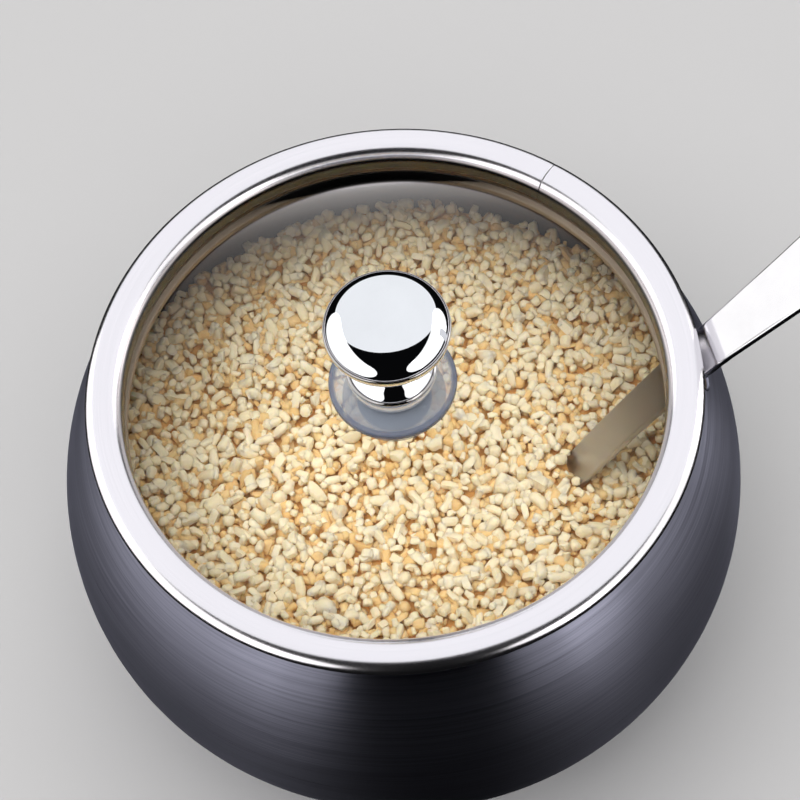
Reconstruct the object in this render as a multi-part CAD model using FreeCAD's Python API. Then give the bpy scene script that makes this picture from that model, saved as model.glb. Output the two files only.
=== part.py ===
import FreeCAD, Part
import math
import os
from FreeCAD import Vector

# Sugar bowl with a glass lid and a spoon that leans out under the lid's rim.
# Millimetres, +Z up, origin in the middle of the flat underside of the bowl.
# The spoon leans out towards +X; the front of the bowl faces -Y.

os.makedirs("parts", exist_ok=True)

# ---------------------------------------------------------------- dimensions
# bowl body, a deep-drawn shell
SEAT = 66.0            # height of the plane that the lid ring's outer edge lies in
WALL = 0.9             # sheet thickness
BELLY_R = 52.5         # widest radius
BELLY_Z = 36.0         # height of the widest point
UPPER_B = 50.2         # vertical semi-axis of the ellipse above the belly
LOWER_B = 43.0         # vertical semi-axis of the ellipse below the belly
SHOULDER_DROP = 1.6    # where the shoulder turns up into the upright rim, below SEAT
RIM_R = 42.6           # outer radius of the upright rim
RIM_UP = 0.9           # rim edge above SEAT, inside the lid ring's channel
HEEL_Z = 1.0           # where the lower ellipse blends into the flat base

# lid ring, a formed band with a rolled crown and a wall that grips the glass
RING_R = 45.0          # outer radius
EDGE_DROP = 0.05       # the outer edge turns upright this far below SEAT
CREST_R = 42.6         # radius of the crown's highest line
CREST_UP = 1.7         # crown above SEAT
LIP_R = 39.6           # inner edge of the crown
LIP_DROP = 1.4         # inner edge of the crown below SEAT
CROWN_OUT_N = 2.1      # fullness of the crown's outer curve, 2 would be an ellipse
CROWN_IN_N = 2.5       # fullness of the crown's inner curve
CHANNEL_N = 3.0        # fullness of the channel's curve over the rim edge
BAND = 0.6             # sheet thickness
SKIRT_R = 41.2         # outer radius of the wall that drops into the mouth
GRIP_R = 39.55         # inner radius of the wall above the glass
GROOVE_UP = 2.5       # top of the glass groove below SEAT
GROOVE_LOW = 5.1       # bottom of the glass groove below SEAT
FOOT_LOW = 6.25        # foot of the wall below SEAT
SEAM_AZ = 50.8         # azimuth of the butt seam across the crown, degrees
SEAM_W = 0.16
SEAM_D = 0.16

# glass, a shallow dome
GLASS_T = 2.2
GLASS_EDGE_R = 40.5
DOME_R = 290.0
GLASS_HOLE_R = 3.0

# knob, washers and screw
KNOB_R = 9.0           # radius of the head
KNOB_Z = 15.9          # height of the head's widest line above SEAT
KNOB_TOP = 4.9         # head above its widest line
FOOT_R = 6.6           # radius of the foot bead
FOOT_Z = 5.2           # height of the bead's widest line above SEAT
NECK_R = 4.4
WASHER_R = 9.35
UNDER_R = 7.6          # the lower clear washer
WASHER_T = 1.5
SCREW_R = 2.45
BORE_R = 2.5
BORE_DEEP = 9.0

# spoon, stamped from strip
SPOON_T = 1.2
SPOON_AZ = 9.5         # azimuth of the spoon's upright plane
SPOON_X, SPOON_Y = 45.3, 0.85   # where its upper face passes the ring's outer edge
SPOON_DROP = 1.8       # upper face below SEAT at that point
ANG_OUT = 49.0         # slope of the outer handle
ANG_RIM = 51.5         # slope where it passes under the ring
ANG_IN = 60.0          # slope where it enters the sugar
ARCH_LEN = 33.0        # length of the arched part
NECK_LEN = 13.0        # straight part from the arch to the bowl of the spoon
OUT_LEN = 50.0         # length of the outer handle
SCOOP_L = 34.0         # length of the bowl of the spoon
SCOOP_W = 22.0
SCOOP_ANG = 41.0       # slope of the bowl's rim plane
NOTCH_W = 8.6          # notch in the body's rim
NOTCH_DROP = 6.2       # floor of the notch below SEAT


# ------------------------------------------------------------------- helpers
def line(a, b):
    return Part.LineSegment(Vector(a[0], 0, a[1]), Vector(b[0], 0, b[1])).toShape()


def arc(a, m, b):
    return Part.Arc(Vector(a[0], 0, a[1]), Vector(m[0], 0, m[1]), Vector(b[0], 0, b[1])).toShape()


def ellipse_point(c, rx, rz, deg):
    t = math.radians(deg)
    return (c[0] + rx * math.cos(t), c[1] + rz * math.sin(t))


def ellipse_arc(c, rx, rz, d0, d1, n=9):
    """Curve through points of an axis-aligned ellipse in the XZ plane, with end tangents."""
    pts = []
    for i in range(n):
        p = ellipse_point(c, rx, rz, d0 + (d1 - d0) * i / (n - 1))
        pts.append(Vector(p[0], 0, p[1]))
    s = 1.0 if d1 > d0 else -1.0

    def tangent(d):
        t = math.radians(d)
        v = Vector(-rx * math.sin(t) * s, 0, rz * math.cos(t) * s)
        v.normalize()
        return v

    curve = Part.BSplineCurve()
    curve.interpolate(Points=pts, InitialTangent=tangent(d0), FinalTangent=tangent(d1))
    return curve.toShape()


def full_arc(c, rx, rz, d0, d1, power, n=15):
    """Quarter of a superellipse between 0, 90 and 180 degrees, with end tangents."""
    pts = []
    for i in range(n):
        t = math.radians(d0 + (d1 - d0) * i / (n - 1))
        x, z = math.cos(t), math.sin(t)
        x = math.copysign(abs(x) ** (2.0 / power), x) if abs(x) > 1e-9 else 0.0
        z = abs(z) ** (2.0 / power) if abs(z) > 1e-9 else 0.0
        pts.append(Vector(c[0] + rx * x, 0, c[1] + rz * z))

    def tangent(d):
        s = 1.0 if d1 > d0 else -1.0
        t = math.radians(d)
        return Vector(-round(math.sin(t)) * s, 0, round(math.cos(t)) * s)

    curve = Part.BSplineCurve()
    curve.interpolate(Points=pts, InitialTangent=tangent(d0), FinalTangent=tangent(d1))
    return curve.toShape()


def revolve(edges):
    wire = Part.Wire(edges)
    face = Part.Face(wire)
    solid = face.revolve(Vector(0, 0, 0), Vector(0, 0, 1), 360.0)
    if solid.ShapeType != "Solid":
        solid = Part.makeSolid(solid) if solid.ShapeType == "Shell" else solid.Solids[0]
    if solid.Volume < 0:
        solid.reverse()
    return solid


def cylinder(r, z0, z1):
    return Part.makeCylinder(r, z1 - z0, Vector(0, 0, z0))


def save(name, shape):
    solids = shape.Solids
    assert len(solids) >= 1, name + " has no solid"
    for s in solids:
        assert s.isValid() and s.isClosed(), name + " is not a valid closed solid"
    out = solids[0] if len(solids) == 1 else Part.makeCompound(solids)
    out.exportStep("parts/" + name + ".step")
    bb = out.BoundBox
    print("%-14s solids %d  volume %.1f  x %.1f..%.1f  y %.1f..%.1f  z %.1f..%.1f" % (
        name, len(solids), out.Volume, bb.XMin, bb.XMax, bb.YMin, bb.YMax, bb.ZMin, bb.ZMax))
    return out


# ------------------------------------------------------------------ the body
def body_edges():
    """Closed half section of the shell: outer skin up, over the rim edge, inner skin down."""
    zq = SEAT - SHOULDER_DROP
    edges = []

    def skin(off):
        a = BELLY_R - off
        bu = UPPER_B - off
        bl = LOWER_B - off
        # angle on the upper ellipse at the shoulder
        tq = math.degrees(math.asin((zq - BELLY_Z) / bu))
        q = ellipse_point((0, BELLY_Z), a, bu, tq)
        tan_q = Vector(-a * math.sin(math.radians(tq)), 0, bu * math.cos(math.radians(tq)))
        lean = math.atan2(-tan_q.x, tan_q.z)
        # angle on the lower ellipse at the heel
        zh = HEEL_Z + off
        th = -math.degrees(math.asin((BELLY_Z - zh) / bl))
        h = ellipse_point((0, BELLY_Z), a, bl, th)
        return a, bu, bl, tq, q, lean, th, h

    a, bu, bl, tq, q, lean, th, h = skin(0.0)
    # heel: an arc that leaves the flat base level and meets the lower ellipse on its own slope
    slope = math.atan2(bl * math.cos(math.radians(th)), -a * math.sin(math.radians(th)))
    rho = HEEL_Z / (1 - math.cos(slope))
    p0 = (h[0] - rho * math.sin(slope), 0.0)
    pm = (p0[0] + rho * math.sin(slope / 2), rho * (1 - math.cos(slope / 2)))
    # shoulder to rim: an arc that turns upright
    rho_s = (q[0] - RIM_R) / (1 - math.cos(lean))
    top_arc = (RIM_R, q[1] + rho_s * math.sin(lean))
    cs = (RIM_R + rho_s, top_arc[1])
    mid_arc = (cs[0] - rho_s * math.cos(lean / 2), cs[1] - rho_s * math.sin(lean / 2))
    edge_z = SEAT + RIM_UP
    er = WALL / 2
    edges.append(line((0, 0), p0))
    edges.append(arc(p0, pm, h))
    edges.append(ellipse_arc((0, BELLY_Z), a, bl, th, 0))
    edges.append(ellipse_arc((0, BELLY_Z), a, bu, 0, tq))
    edges.append(arc(q, mid_arc, top_arc))
    edges.append(line(top_arc, (RIM_R, edge_z - er)))
    edges.append(arc((RIM_R, edge_z - er), (RIM_R - er, edge_z), (RIM_R - WALL, edge_z - er)))
    # inner skin
    ai, bui, bli, tqi, qi, leani, thi, hi = skin(WALL)
    ri = RIM_R - WALL
    rho_i = (qi[0] - ri) / (1 - math.cos(leani))
    top_i = (ri, qi[1] + rho_i * math.sin(leani))
    ci = (ri + rho_i, top_i[1])
    mid_i = (ci[0] - rho_i * math.cos(leani / 2), ci[1] - rho_i * math.sin(leani / 2))
    edges.append(line((ri, edge_z - er), top_i))
    edges.append(arc(top_i, mid_i, qi))
    edges.append(ellipse_arc((0, BELLY_Z), ai, bui, tqi, 0))
    edges.append(ellipse_arc((0, BELLY_Z), ai, bli, 0, thi))
    slope_i = math.atan2(bli * math.cos(math.radians(thi)), -ai * math.sin(math.radians(thi)))
    rho_h = HEEL_Z / (1 - math.cos(slope_i))
    floor_z = hi[1] - rho_h * (1 - math.cos(slope_i))
    f0 = (hi[0] - rho_h * math.sin(slope_i), floor_z)
    fm = (f0[0] + rho_h * math.sin(slope_i / 2), floor_z + rho_h * (1 - math.cos(slope_i / 2)))
    edges.append(arc(hi, fm, f0))
    edges.append(line(f0, (0, floor_z)))
    edges.append(line((0, floor_z), (0, 0)))
    print("base flat radius %.2f, floor at %.2f, floor radius %.2f" % (p0[0], floor_z, f0[0]))
    return edges


# The spoon's upright plane: s runs outwards from the point at the ring's edge, z is height.
AZ = math.radians(SPOON_AZ)
S_DIR = Vector(math.cos(AZ), math.sin(AZ), 0)
W_DIR = Vector(-math.sin(AZ), math.cos(AZ), 0)
UP = Vector(0, 0, 1)
S0 = Vector(SPOON_X, SPOON_Y, SEAT - SPOON_DROP)


def sp(s, z, w=0.0):
    """World point of (s, z) in the spoon's plane, w to the side."""
    return S0 + S_DIR * s + UP * z + W_DIR * w


def notch():
    """U-shaped cutter through the rim, along the spoon's plane."""
    half = NOTCH_W / 2
    lo = SEAT - NOTCH_DROP
    r = 1.6
    z_off = -S0.z
    pts = [(-half, SEAT + 6), (-half, lo + r), (-half + r, lo), (half - r, lo), (half, lo + r), (half, SEAT + 6)]

    def p(w, z):
        return sp(-7.0, z + z_off, w)

    k = r * (1 - math.sqrt(0.5))
    edges = [
        Part.LineSegment(p(*pts[0]), p(*pts[1])).toShape(),
        Part.Arc(p(*pts[1]), p(-half + k, lo + k), p(*pts[2])).toShape(),
        Part.LineSegment(p(*pts[2]), p(*pts[3])).toShape(),
        Part.Arc(p(*pts[3]), p(half - k, lo + k), p(*pts[4])).toShape(),
        Part.LineSegment(p(*pts[4]), p(*pts[5])).toShape(),
        Part.LineSegment(p(*pts[5]), p(*pts[0])).toShape(),
    ]
    return Part.Face(Part.Wire(edges)).extrude(S_DIR * 14.0)


body = revolve(body_edges()).cut(notch())
body = save("bowl_body", body)


# ------------------------------------------------------------------ the lid
def ring_edges():
    z = SEAT
    out = (RING_R, z - EDGE_DROP)
    cen_o = (CREST_R, z - EDGE_DROP)
    cen_i = (CREST_R, z - LIP_DROP)
    a_o, b_o = RING_R - CREST_R, CREST_UP + EDGE_DROP
    a_i, b_i = CREST_R - LIP_R, CREST_UP + LIP_DROP
    e = []
    # crown, outside to inside
    e.append(full_arc(cen_o, a_o, b_o, 0, 90, CROWN_OUT_N))
    e.append(full_arc(cen_i, a_i, b_i, 90, 180, CROWN_IN_N))
    # wall above the glass
    gt = z - GROOVE_UP
    gb = z - GROOVE_LOW
    foot = GRIP_R + 0.1
    groove = GLASS_EDGE_R + 0.1
    e.append(line((LIP_R, z - LIP_DROP), (GRIP_R, gt + 0.25)))
    e.append(arc((GRIP_R, gt + 0.25), (GRIP_R + 0.073, gt + 0.073), (GRIP_R + 0.25, gt)))
    e.append(line((GRIP_R + 0.25, gt), (groove, gt)))
    e.append(line((groove, gt), (groove, gb)))
    e.append(line((groove, gb), (foot + 0.25, gb)))
    # foot of the wall, under the glass
    fl = z - FOOT_LOW
    e.append(arc((foot + 0.25, gb), (foot + 0.073, gb - 0.073), (foot, gb - 0.25)))
    e.append(line((foot, gb - 0.25), (foot, fl + 0.25)))
    e.append(arc((foot, fl + 0.25), (foot + 0.073, fl + 0.073), (foot + 0.25, fl)))
    e.append(line((foot + 0.25, fl), (SKIRT_R - 0.6, fl)))
    e.append(arc((SKIRT_R - 0.6, fl), (SKIRT_R - 0.176, fl + 0.176), (SKIRT_R, fl + 0.6)))
    e.append(line((SKIRT_R, fl + 0.6), (SKIRT_R, z - LIP_DROP)))
    # inside of the channel
    e.append(full_arc(cen_i, CREST_R - SKIRT_R, b_i - BAND, 180, 90, CHANNEL_N))
    e.append(full_arc(cen_o, a_o - BAND, b_o - BAND, 90, 0, CROWN_OUT_N))
    e.append(arc((RING_R - BAND, z - EDGE_DROP), (RING_R - BAND / 2, z - EDGE_DROP - BAND / 2), out))
    return e


ring = revolve(ring_edges())
# butt seam: a hairline across the crown
core = revolve([
    full_arc((CREST_R, SEAT - EDGE_DROP), RING_R - CREST_R - SEAM_D, CREST_UP + EDGE_DROP - SEAM_D, 0, 90, CROWN_OUT_N),
    full_arc((CREST_R, SEAT - LIP_DROP), CREST_R - LIP_R - SEAM_D, CREST_UP + LIP_DROP - SEAM_D, 90, 180, CROWN_IN_N),
    line((LIP_R + SEAM_D, SEAT - LIP_DROP), (LIP_R + SEAM_D, SEAT - 12)),
    line((LIP_R + SEAM_D, SEAT - 12), (RING_R - SEAM_D, SEAT - 12)),
    line((RING_R - SEAM_D, SEAT - 12), (RING_R - SEAM_D, SEAT - EDGE_DROP)),
])
slab = Part.makeBox(10.0, SEAM_W, 4.6, Vector(37.0, -SEAM_W / 2, SEAT - 1.4))
slab.rotate(Vector(0, 0, 0), Vector(0, 0, 1), SEAM_AZ)
ring = ring.cut(slab.cut(core))
ring = save("lid_ring", ring)

# glass: dome of even thickness with a hole for the screw
sag = DOME_R - math.sqrt(DOME_R ** 2 - GLASS_EDGE_R ** 2)
sag_h = DOME_R - math.sqrt(DOME_R ** 2 - GLASS_HOLE_R ** 2)
rm = (GLASS_HOLE_R + GLASS_EDGE_R) / 2
sag_m = DOME_R - math.sqrt(DOME_R ** 2 - rm ** 2)
glass = revolve([
    arc((GLASS_HOLE_R, SEAT - sag_h), (rm, SEAT - sag_m), (GLASS_EDGE_R, SEAT - sag)),
    line((GLASS_EDGE_R, SEAT - sag), (GLASS_EDGE_R, SEAT - sag - GLASS_T)),
    arc((GLASS_EDGE_R, SEAT - sag - GLASS_T), (rm, SEAT - sag_m - GLASS_T), (GLASS_HOLE_R, SEAT - sag_h - GLASS_T)),
    line((GLASS_HOLE_R, SEAT - sag_h - GLASS_T), (GLASS_HOLE_R, SEAT - sag_h)),
])
glass = save("lid_glass", glass)


def washer(r, hole, z0, z1, soft):
    """Flat ring with its outer edges rounded by soft."""
    k = soft * (1 - math.sqrt(0.5))
    return revolve([
        line((hole, z0), (r - soft, z0)),
        arc((r - soft, z0), (r - k, z0 + k), (r, z0 + soft)),
        line((r, z0 + soft), (r, z1 - soft)),
        arc((r, z1 - soft), (r - k, z1 - k), (r - soft, z1)),
        line((r - soft, z1), (hole, z1)),
        line((hole, z1), (hole, z0)),
    ])


WASHER_Z = SEAT
knob_washer = save("knob_washer", washer(WASHER_R, 2.7, WASHER_Z, WASHER_Z + WASHER_T, 0.45))
UNDER_TOP = SEAT - GLASS_T - 0.2
under_washer = save("under_washer", washer(UNDER_R, 2.7, UNDER_TOP - WASHER_T, UNDER_TOP, 0.45))
STEEL_TOP = UNDER_TOP - WASHER_T
steel_washer = save("steel_washer", washer(5.5, 2.7, STEEL_TOP - 1.0, STEEL_TOP, 0.2))

# knob: flattened ball on a waisted stem with a bead foot, bored from below for the screw
kb = WASHER_Z + WASHER_T
kz = SEAT + KNOB_Z
fz = SEAT + FOOT_Z
knob_profile = [
    line((0, kb + BORE_DEEP + 1.2), (0, kz + KNOB_TOP)),
    ellipse_arc((0, kz), KNOB_R, KNOB_TOP, 90, 0, 11),
]
under = Part.BSplineCurve()
under.interpolate(
    Points=[Vector(x, 0, z) for x, z in (
        (KNOB_R, kz), (KNOB_R - 0.45, kz - 1.45), (KNOB_R - 2.2, kz - 3.1), (NECK_R + 0.45, kz - 4.9),
        (NECK_R, kz - 6.7), (NECK_R + 0.5, fz + 2.7), (FOOT_R - 0.55, fz + 1.35), (FOOT_R, fz))],
    InitialTangent=Vector(0, 0, -1), FinalTangent=Vector(0, 0, -1))
knob_profile.append(under.toShape())
knob_profile.append(ellipse_arc((FOOT_R - 1.5, fz), 1.5, fz - kb, 0, -90))
knob_profile.append(line((FOOT_R - 1.5, kb), (BORE_R, kb)))
knob_profile.append(line((BORE_R, kb), (BORE_R, kb + BORE_DEEP)))
knob_profile.append(line((BORE_R, kb + BORE_DEEP), (0, kb + BORE_DEEP + 1.2)))
knob = save("knob", revolve(knob_profile))

# screw: pan head below the steel washer, shank up into the knob, cross recess
st = STEEL_TOP - 1.0
head_h = 2.4
screw = revolve([
    line((0, st - head_h), (2.6, st - head_h)),
    arc((2.6, st - head_h), (4.05, st - head_h + 0.45), (4.7, st - 1.0)),
    line((4.7, st - 1.0), (4.7, st)),
    line((4.7, st), (SCREW_R, st)),
    line((SCREW_R, st), (SCREW_R, kb + 7.6)),
    line((SCREW_R, kb + 7.6), (SCREW_R - 0.6, kb + 8.2)),
    line((SCREW_R - 0.6, kb + 8.2), (0, kb + 8.2)),
    line((0, kb + 8.2), (0, st - head_h)),
])
for turn in (0, 90):
    blade = Part.makeBox(4.4, 0.9, 1.4, Vector(-2.2, -0.45, st - head_h - 0.1))
    blade.rotate(Vector(0, 0, 0), Vector(0, 0, 1), turn + 20)
    screw = screw.cut(blade)
screw = save("knob_screw", screw)


# ---------------------------------------------------------------- the spoon
def path_points():
    """Upper face of the strip in the spoon's plane, from the handle's end inwards."""
    # outwards from the bend
    bend_s, bend_z = 1.0 * math.cos(math.radians(ANG_RIM)), 1.0 * math.sin(math.radians(ANG_RIM))
    bend = (bend_s + 0.35, bend_z + 0.35 * math.tan(math.radians(ANG_RIM)))
    o = math.radians(ANG_OUT)
    end = (bend[0] + OUT_LEN * math.cos(o), bend[1] + OUT_LEN * math.sin(o))
    # inwards along an arc
    a0, a1 = math.radians(ANG_RIM), math.radians(ANG_IN)
    rad = ARCH_LEN / (a1 - a0)

    def on_arc(t):
        # integrates the slope from the ring's edge inwards
        a = a0 + (a1 - a0) * t
        s = -rad * (math.sin(a) - math.sin(a0))
        z = -rad * (math.cos(a0) - math.cos(a))
        return (s, z)

    k0, km, k1 = (0.0, 0.0), on_arc(0.5), on_arc(1.0)
    neck = (k1[0] - NECK_LEN * math.cos(a1), k1[1] - NECK_LEN * math.sin(a1))
    return end, bend, k0, km, k1, neck


def offset(p, ang, d):
    """Point d below the upper face, square to a slope of ang degrees."""
    a = math.radians(ang)
    return (p[0] + d * math.sin(a), p[1] - d * math.cos(a))


end, bend, k0, km, k1, neck = path_points()
mid_ang = (ANG_RIM + ANG_IN) / 2
# the bend's lower corner lies where both offset lines meet
half_turn = math.radians(ANG_RIM - ANG_OUT) / 2
mean = (ANG_RIM + ANG_OUT) / 2
bend_lo = offset(bend, mean, SPOON_T / math.cos(half_turn))
end_lo = offset(end, ANG_OUT, SPOON_T)
k0_lo = offset(k0, ANG_RIM, SPOON_T)
km_lo = offset(km, mid_ang, SPOON_T)
k1_lo = offset(k1, ANG_IN, SPOON_T)
neck_lo = offset(neck, ANG_IN, SPOON_T)
HALF = 14.0


def v(p):
    return sp(p[0], p[1], -HALF)


band = Part.Face(Part.Wire([
    Part.LineSegment(v(end), v(bend)).toShape(),
    Part.LineSegment(v(bend), v(k0)).toShape(),
    Part.Arc(v(k0), v(km), v(k1)).toShape(),
    Part.LineSegment(v(k1), v(neck)).toShape(),
    Part.LineSegment(v(neck), v(neck_lo)).toShape(),
    Part.LineSegment(v(neck_lo), v(k1_lo)).toShape(),
    Part.Arc(v(k1_lo), v(km_lo), v(k0_lo)).toShape(),
    Part.LineSegment(v(k0_lo), v(bend_lo)).toShape(),
    Part.LineSegment(v(bend_lo), v(end_lo)).toShape(),
    Part.LineSegment(v(end_lo), v(end)).toShape(),
])).extrude(W_DIR * (2 * HALF))

# outline of the handle, drawn on a plane at the handle's mean slope
PLAN_ANG = 54.0
pa = math.radians(PLAN_ANG)
Q_DIR = (S_DIR * math.cos(pa) + UP * math.sin(pa))
N_DIR = (S_DIR * -math.sin(pa) + UP * math.cos(pa))


def q_of(p):
    return p[0] * math.cos(pa) + p[1] * math.sin(pa)


q_end = q_of(end)
q_neck = q_of(neck)


def plan_point(q, w):
    return S0 + Q_DIR * q + W_DIR * w - N_DIR * 40.0


widths = [(q_neck - 3.0, 3.3), (q_neck + 6.0, 3.0), (-30.0, 3.0), (-14.0, 3.2), (-4.0, 3.45), (3.0, 3.6), (18.0, 4.6), (34.0, 5.9), (q_end - 6.5, 6.5)]


def side(sign):
    c = Part.BSplineCurve()
    c.interpolate(Points=[plan_point(q, sign * w) for q, w in widths])
    return c


right = side(1)
left = side(-1)
tip_arc = Part.Arc(plan_point(q_end - 6.5, 6.5), plan_point(q_end, 0.0), plan_point(q_end - 6.5, -6.5)).toShape()
start = Part.LineSegment(plan_point(q_neck - 3.0, -3.3), plan_point(q_neck - 3.0, 3.3)).toShape()
outline = Part.Face(Part.Wire([start, right.toShape(), tip_arc, left.toShape()])).extrude(N_DIR * 80.0)
handle = band.common(outline)

# bowl of the spoon: the lower part of a shell of revolution about its own long axis
sa = math.radians(SCOOP_ANG)
LONG = (S_DIR * -math.cos(sa) - UP * math.sin(sa))      # from the neck to the tip
DOWN = (S_DIR * math.sin(sa) - UP * math.cos(sa))       # square to the rim plane, to the bulge
f = math.sqrt(0.75)
la, ra = SCOOP_L / 2 / f, SCOOP_W / 2 / f


def spheroid(a, r):
    """Solid of revolution about X, semi-axes a and r, centred at the origin."""
    pts = [Vector(a * math.cos(math.pi * i / 24), 0, r * math.sin(math.pi * i / 24)) for i in range(25)]
    c = Part.BSplineCurve()
    c.interpolate(Points=pts, InitialTangent=Vector(0, 0, 1), FinalTangent=Vector(0, 0, -1))
    face = Part.Face(Part.Wire([c.toShape(), Part.LineSegment(pts[-1], pts[0]).toShape()]))
    return face.revolve(Vector(0, 0, 0), Vector(1, 0, 0), 360.0)


shell = spheroid(la, ra).cut(spheroid(la - 1.1, ra - 1.0))
# local frame: X long axis, Z up out of the scoop; keep what lies below the rim plane
cap = Part.makeBox(80, 80, 80, Vector(-40, -40, -80 - ra * 0.5))
scoop = shell.common(cap)
scoop.translate(Vector(0, 0, ra * 0.5))
place = FreeCAD.Matrix(
    LONG.x, -W_DIR.x, -DOWN.x, 0,
    LONG.y, -W_DIR.y, -DOWN.y, 0,
    LONG.z, -W_DIR.z, -DOWN.z, 0,
    0, 0, 0, 1)
neck_w = sp(neck[0], neck[1])
centre = neck_w + LONG * (SCOOP_L / 2 - 1.6) + DOWN * 0.35
scoop.Placement = FreeCAD.Placement(centre, FreeCAD.Rotation(place)).multiply(scoop.Placement)
spoon = handle.fuse(scoop).removeSplitter()
print("spoon solids", len(spoon.Solids), "valid", spoon.isValid())
spoon = save("spoon", spoon)

# ------------------------------------------------------- spacing, for the log
pairs = [("spoon/body", spoon, body), ("spoon/ring", spoon, ring), ("ring/body", ring, body),
         ("glass/ring", glass, ring), ("screw/knob", screw, knob), ("washer/glass", knob_washer, glass),
         ("under/glass", under_washer, glass), ("washer/knob", knob_washer, knob)]
for name, a, b in pairs:
    print("%-14s gap %.3f  shared %.4f" % (name, a.distToShape(b)[0], a.common(b).Volume))
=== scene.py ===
import math
import random
import bpy
import numpy as np
from mathutils import Matrix, Vector


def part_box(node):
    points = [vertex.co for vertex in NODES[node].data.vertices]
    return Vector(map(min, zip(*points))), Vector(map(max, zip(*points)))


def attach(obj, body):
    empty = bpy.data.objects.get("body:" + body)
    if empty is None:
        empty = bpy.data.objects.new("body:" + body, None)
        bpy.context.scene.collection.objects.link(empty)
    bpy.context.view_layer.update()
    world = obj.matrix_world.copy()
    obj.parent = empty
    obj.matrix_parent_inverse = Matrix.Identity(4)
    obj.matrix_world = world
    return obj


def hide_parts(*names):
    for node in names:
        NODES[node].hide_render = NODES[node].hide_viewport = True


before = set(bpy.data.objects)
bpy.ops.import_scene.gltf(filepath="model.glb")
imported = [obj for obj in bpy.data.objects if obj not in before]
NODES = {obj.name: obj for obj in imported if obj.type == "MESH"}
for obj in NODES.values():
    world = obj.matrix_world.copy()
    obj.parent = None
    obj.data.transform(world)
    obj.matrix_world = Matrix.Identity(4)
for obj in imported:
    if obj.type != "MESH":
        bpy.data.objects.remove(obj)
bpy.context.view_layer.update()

MM = 0.001


def box_mm(node):
    lo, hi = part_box(node)
    return lo / MM, hi / MM


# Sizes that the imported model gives, in millimetres.
b_lo, b_hi = box_mm("bowl_body")
r_lo, r_hi = box_mm("lid_ring")
g_lo, g_hi = box_mm("lid_glass")
k_lo, k_hi = box_mm("knob")
w_lo, w_hi = box_mm("knob_washer")
u_lo, u_hi = box_mm("under_washer")

SEAT = w_lo.z                       # the plane of the lid ring's outer edge
BELLY_R = b_hi.x
BELLY_Z = 36.0
WALL = 0.9
UPPER_B, LOWER_B = 50.2, 43.0
SHOULDER_DROP = 1.6
RIM_R, RIM_UP = 42.6, 0.9
HEEL_Z = 1.0
RING_R = r_hi.x
EDGE_DROP, CREST_R, CREST_UP = 0.05, 42.6, 1.7
LIP_R, LIP_DROP = 39.6, 1.4
CROWN_OUT_N, CROWN_IN_N, CHANNEL_N = 2.1, 2.5, 3.0
BAND, SKIRT_R, GRIP_R = 0.6, 41.2, 39.55
GROOVE_UP, GROOVE_LOW, FOOT_LOW = 2.5, 5.1, 6.25
GLASS_T, GLASS_EDGE_R, DOME_R, GLASS_HOLE_R = 2.2, g_hi.x, 290.0, 3.0
KNOB_R, KNOB_Z, KNOB_TOP = k_hi.x, 15.9, 4.9
FOOT_R, FOOT_Z, NECK_R = 6.6, 5.2, 4.4
WASHER_R, WASHER_T = w_hi.x, w_hi.z - w_lo.z
UNDER_R = u_hi.x
BORE_R, BORE_DEEP = 2.5, 9.0
SPOON_T = 1.2
NOTCH_W, NOTCH_DROP = 8.6, 6.2
SEAM_AZ = 50.8
SUGAR_Z = 36.9


# ------------------------------------------------------------------ mesh helpers
def finish_mesh(name, verts, faces, body, smooth_angle=35.0):
    me = bpy.data.meshes.new(name)
    me.from_pydata([tuple(c * MM for c in v) for v in verts], [], faces)
    me.validate()
    me.update()
    ob = bpy.data.objects.new(name, me)
    bpy.context.scene.collection.objects.link(ob)
    me.polygons.foreach_set("use_smooth", [True] * len(me.polygons))
    me.set_sharp_from_angle(angle=math.radians(smooth_angle))
    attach(ob, body)
    return ob


def lathe(profile, angles=None, n=256, warp=None):
    """Closed surface from a profile of (r, z), turned about Z. Points at r = 0 become one pole."""
    if angles is None:
        angles = [2 * math.pi * i / n for i in range(n)]
    n = len(angles)
    verts, rows = [], []
    for k, (r, z) in enumerate(profile):
        if r < 1e-6:
            rows.append([len(verts)] * n)
            verts.append((0.0, 0.0, z))
            continue
        row = []
        for a in angles:
            rr, zz = (r, z) if warp is None else warp(k, r, z, a)
            row.append(len(verts))
            verts.append((rr * math.cos(a), rr * math.sin(a), zz))
        rows.append(row)
    faces = []
    closed = profile[0][0] >= 1e-6 or profile[-1][0] >= 1e-6
    pairs = list(zip(rows, rows[1:]))
    if closed:
        pairs.append((rows[-1], rows[0]))
    for lo, hi in pairs:
        for i in range(n):
            j = (i + 1) % n
            q = [lo[i], lo[j], hi[j], hi[i]]
            q2 = []
            for v in q:
                if v not in q2:
                    q2.append(v)
            if len(q2) >= 3:
                faces.append(q2)
    return verts, faces


def arc_pts(c, rx, rz, d0, d1, n):
    out = []
    for i in range(n + 1):
        t = math.radians(d0 + (d1 - d0) * i / n)
        out.append((c[0] + rx * math.cos(t), c[1] + rz * math.sin(t)))
    return out


def full_pts(c, rx, rz, d0, d1, power, n):
    """Part of a superellipse, power 2 would be an ellipse."""
    out = []
    for i in range(n + 1):
        t = math.radians(d0 + (d1 - d0) * i / n)
        x, z = math.cos(t), math.sin(t)
        x = math.copysign(abs(x) ** (2.0 / power), x) if abs(x) > 1e-9 else 0.0
        z = abs(z) ** (2.0 / power) if abs(z) > 1e-9 else 0.0
        out.append((c[0] + rx * x, c[1] + rz * z))
    return out


def line_pts(a, b, n):
    return [(a[0] + (b[0] - a[0]) * i / n, a[1] + (b[1] - a[1]) * i / n) for i in range(n + 1)]


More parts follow.
